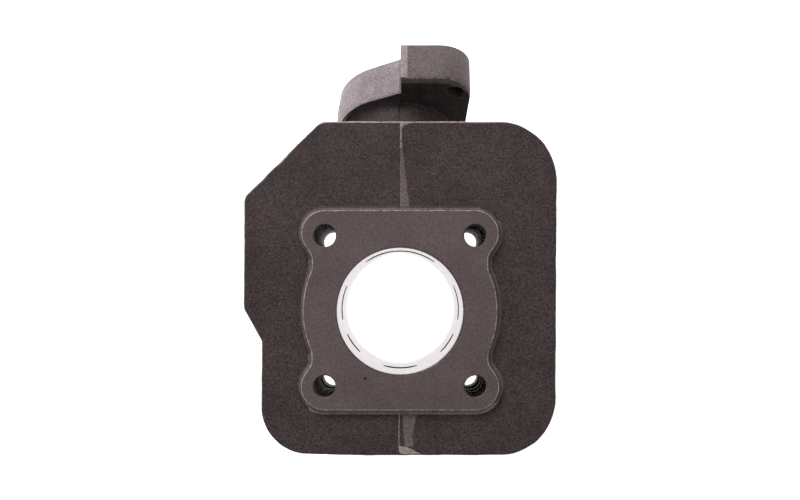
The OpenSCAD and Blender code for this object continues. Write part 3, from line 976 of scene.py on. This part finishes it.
for node, sizes in PASSAGES.items():
    housing = passage(*sizes, HOUSING_WALL, BASE_T - 0.3, HOUSING_CORNER, HOUSING_FLARE)
    box = as_object(housing, "cast_" + node)
    cut(box, passage(*sizes, 0, -2, PASSAGE_CORNER))
    cut(box, stud_tools(-2, DECK_Z))
    cut(box, rod(BORE_R + 1.5, -2, DECK_Z, BARREL_SIDES))
    finish_piece(box, node)


# ---- crankcase flange ----

BASE_HALF, BASE_REAR, BASE_FRONT, BASE_CORNER = 36, -35, 33.5, 10
base_corners = [(-BASE_HALF, BASE_REAR), (BASE_HALF, BASE_REAR),
                (BASE_HALF, BASE_FRONT), (-BASE_HALF, BASE_FRONT)]
base_path = outline([(x, y, BASE_CORNER) for x, y in base_corners], 0.9, 1.5)
base_levels = rounded_levels(0, BASE_T, 0.4, 1.2)
base = as_object(loft(base_path, base_levels, None, MACHINED, CAST, 0.12, 41.0), "cast_crankcase_flange")
cut(base, rod(BARREL_R - 0.8, -2, BASE_T + 2, BARREL_SIDES))
cut(base, stud_tools(-2, BASE_T + 2))
cut(base, passage_tools(-2))
finish_piece(base, "crankcase_flange")


# ---- exhaust neck ----

throat = as_object(neck_body(-2, THROAT_LEN, True, False), "cast_exhaust_throat")
cut(throat, rod(BARREL_R - 1.2, -2, DECK_Z, BARREL_SIDES))
cut(throat, duct_tool())
finish_piece(throat, "exhaust_throat", angle=40)

elbow = as_object(neck_body(THROAT_LEN, DUCT_LEN - FLANGE_T, False, True), "cast_exhaust_elbow")
cut(elbow, duct_tool())
finish_piece(elbow, "exhaust_elbow", angle=40)


# ---- exhaust flange ----

# the outline in the plane of the outlet face: right, up, corner radius
FLANGE = [(0.1, 0.0, 0.45), (0.1, -7.8, 0.6), (-18.9, -18, 21), (-22.1, -40, 20), (-23, -62, 7),
          (-4, -62, 5), (1.5, -54.5, 4), (19.1, -45.5, 13), (22.3, -26, 12), (23.8, 0, 10.4)]
# depth behind the outlet face and inset: a crisp face edge, and on the upper lug a broad bevel behind
FLANGE_LEVELS = [(0.0, 0.30), (0.0, 0.22), (0.07, 0.07), (0.22, 0.0), (4.5, 0.0), (9.0, 0.0), (12.5, 0.0),
                 (12.75, 0.12), (12.95, 0.6), (13.15, 1.2), (13.32, 1.8), (13.46, 2.35), (13.5, 2.55),
                 (13.5, 2.65)]
# away from the upper lug the rear edge keeps this inset at most
CRISP = 0.3
# the upper lug lies right of LUG_LEFT and above LUG_FOOT; STRIP_W of its edge is ground at its left end
LUG_LEFT, LUG_FOOT, STRIP_W = -0.5, -12.0, 2.1
# depths between which the sides are uneven, and where they are ragged on the upper lug
UNEVEN_START, UNEVEN_END, RAGGED_START = 0.3, 13.4, 12.2
# depths between which the left end thickens, and where the pale skin of the sides ends
RISE_START, RISE_FULL, PALE_END = 9.0, 12.5, 13.2
# heights in the plane of the outlet face where the lugs are cut from the flange
UPPER_CUT, LOWER_CUT = -15, -47


def thread_tool():
    """A tapped hole through a lug as grooves of 1 mm pitch."""
    crest, root, pitch, margin = TAP_R, TAP_R + 0.45, 1.0, 0.6
    profile, z = [(root, -1.0), (root, 0.15)], margin
    while z < FLANGE_T - margin:
        profile += [(crest, z), (root, z + pitch / 2)]
        z += pitch
    profile += [(root, FLANGE_T - 0.15), (root, FLANGE_T + 1.0)]
    # the grooves keep the dark cast skin, not drilled metal: painted shade in the hole behind the lug
    return lathe(profile, 48)


def left_rise(x):
    """How much thicker the flange gets towards its left end: up to 1 mm."""
    start, run = 9.0, 12.0
    return min(1.0, max(0.0, -start - x) / run) ** 2


def make_flange():
    """The flange with both lugs: bevelled behind the upper lug; the sides left of the seam are paler than
    those right of it, which is painted light.
    """
    counts = corner_counts(FLANGE, 0.7, 1.2)
    mid = Vector((0, -DUCT_DROP))
    rings = []
    for depth, inset in FLANGE_LEVELS:
        ring = []
        wide = ring_of(inset_vertices(FLANGE, inset), counts)
        slim = ring_of(inset_vertices(FLANGE, min(inset, CRISP)), counts)
        for v, w in zip(wide, slim):
            on_lug = w.x > LUG_LEFT and w.y > LUG_FOOT
            # the bevel fades in above the lug's foot, and leaves the lug's left side straight
            fade = min(1.0, max(0.0, (w.y + 9.0) / 6.0)) if on_lug else 0.0
            across = fade * min(1.0, max(0.0, (w.x - 0.45) / 2.5))
            q = Vector((w.x + (v.x - w.x) * across, w.y + (v.y - w.y) * fade))
            back = depth
            if depth > RISE_START:
                back += left_rise(w.x) * min(1.0, (depth - RISE_START) / (RISE_FULL - RISE_START))
            if UNEVEN_START < depth < UNEVEN_END:
                rag = 0.45 if on_lug and depth > RAGGED_START else 0.10
                shift = noise.noise(Vector((q.x * 0.5, q.y * 0.5, 57 + depth * 0.3))) * 0.5
                shift += noise.noise(Vector((q.x * 1.9, q.y * 1.9, 57 + depth))) * 0.5
                q = q + (q - mid).normalized() * (shift * rag)
            ring.append(Vector((q.x, q.y, back)))
        rings.append(ring)
    bands = [MACHINED] + [PALE] * 6 + [EDGE] + [MID] * 4 + [CAST]
    bm = mesh_from_rings(rings, bands, MACHINED, CAST)
    bm.normal_update()
    for f in bm.faces:
        c = f.calc_center_median()
        # sides left of the seam stay pale and right of it take the middle skin: painted light from the
        # upper left
        if f.material_index == PALE and c.x > SEAM_X:
            f.material_index = GROUND_AND_HIGHLIGHT if c.x < STRIP_W and c.y > -0.9 else MID
        elif f.material_index in (MID, EDGE) and not (c.x > LUG_LEFT and c.y > LUG_FOOT):
            f.material_index = PALE if c.z - left_rise(c.x) < PALE_END else CAST
    ob = as_object(placed(bm, on_flange()), "whole_flange")
    cut(ob, duct_tool())
    for u, w in TAPS:
        cut(ob, placed(thread_tool(), on_flange() @ Matrix.Translation((u, w, 0))))
    return ob


def slice_of(source, name, low, high):
    """The stretch of the flange between two heights in its own plane, closed where it is cut."""
    bm = bmesh.new()
    bm.from_mesh(source.data)
    m = on_flange()
    up = (m.to_3x3() @ Vector((0, 1, 0))).normalized()
    for at, normal in ((low, -up), (high, up)):
        if at is None:
            continue
        split = bmesh.ops.bisect_plane(bm, geom=bm.verts[:] + bm.edges[:] + bm.faces[:], dist=1e-5,
                                       plane_co=m @ Vector((0, at, 0)), plane_no=normal, clear_outer=True)
        edges = [e for e in split["geom_cut"] if isinstance(e, bmesh.types.BMEdge)]
        bmesh.ops.triangle_fill(bm, edges=edges, use_beauty=True)
    return as_object(bm, name)


whole = make_flange()
for node, low, high in (("exhaust_flange", LOWER_CUT, UPPER_CUT), ("exhaust_lug_upper", UPPER_CUT, None),
                        ("exhaust_lug_lower", None, LOWER_CUT)):
    finish_piece(slice_of(whole, "cast_" + node, low, high), node)
bpy.data.objects.remove(whole)


# ---- floor, lights, camera ----

def floor_material():
    """A light table: pale and evenly lit from below."""
    n = Nodes("light_table")
    tone = n.ramp(n.noise(60, 2, 0.5), [(0.3, (0.90, 0.90, 0.90)), (0.7, (0.93, 0.93, 0.93))])
    rough = n.remap(n.noise(8, 2, 0.5), 0.3, 0.7, 0.55, 0.65)
    n.shader.inputs["Emission Color"].default_value = (1, 1, 1, 1)
    n.shader.inputs["Emission Strength"].default_value = 0.95
    return n.finish(tone, rough)


def make_floor(half):
    bm = bmesh.new()
    bmesh.ops.create_grid(bm, x_segments=8, y_segments=8, size=half)
    me = bpy.data.meshes.new("floor")
    bm.to_mesh(me)
    bm.free()
    me.materials.append(floor_material())
    ob = bpy.data.objects.new("floor", me)
    ob.location = (0, 0, SPIGOT_LOW * MM)
    bpy.context.scene.collection.objects.link(ob)
    return ob


floor = make_floor(2.5)

world = bpy.data.worlds.new("studio")
bpy.context.scene.world = world
world.use_nodes = True
background = world.node_tree.nodes["Background"]
background.inputs["Color"].default_value = (1, 1, 1, 1)
background.inputs["Strength"].default_value = 0.26


def area_light(name, place, target, size, power):
    """A square soft light; places in metres, power in watts."""
    data = bpy.data.lights.new(name, "AREA")
    data.shape, data.size, data.energy = "SQUARE", size, power
    ob = bpy.data.objects.new(name, data)
    ob.location = place
    ob.rotation_euler = (Vector(target) - Vector(place)).to_track_quat("-Z", "Y").to_euler()
    bpy.context.scene.collection.objects.link(ob)


def overhead_camera(place, aim, lens):
    """Looks down from place to aim, in metres, with the exhaust side at the top of the picture."""
    data = bpy.data.cameras.new("camera")
    data.sensor_width, data.lens = 36.0, lens
    data.clip_start, data.clip_end = 0.01, 20
    ob = bpy.data.objects.new("camera", data)
    ob.location = place
    look = (Vector(aim) - ob.location).normalized()
    right = look.cross(Vector((0, 1, 0))).normalized()
    up = right.cross(look).normalized()
    ob.matrix_world = Matrix.Translation(ob.location) @ Matrix((right, up, -look)).transposed().to_4x4()
    bpy.context.scene.collection.objects.link(ob)
    return ob


MIDDLE = (0, 0, 0.04)
area_light("key", (-0.42, 0.62, 0.62), MIDDLE, 0.45, 11.0)
area_light("fill", (0.55, 0.10, 0.75), MIDDLE, 0.6, 2.5)
bpy.context.scene.camera = overhead_camera((0.0008, 0.0060, 0.490), (0.0, 0.0193, 0.060), 61.15)
bpy.context.scene.view_settings.view_transform = "Standard"
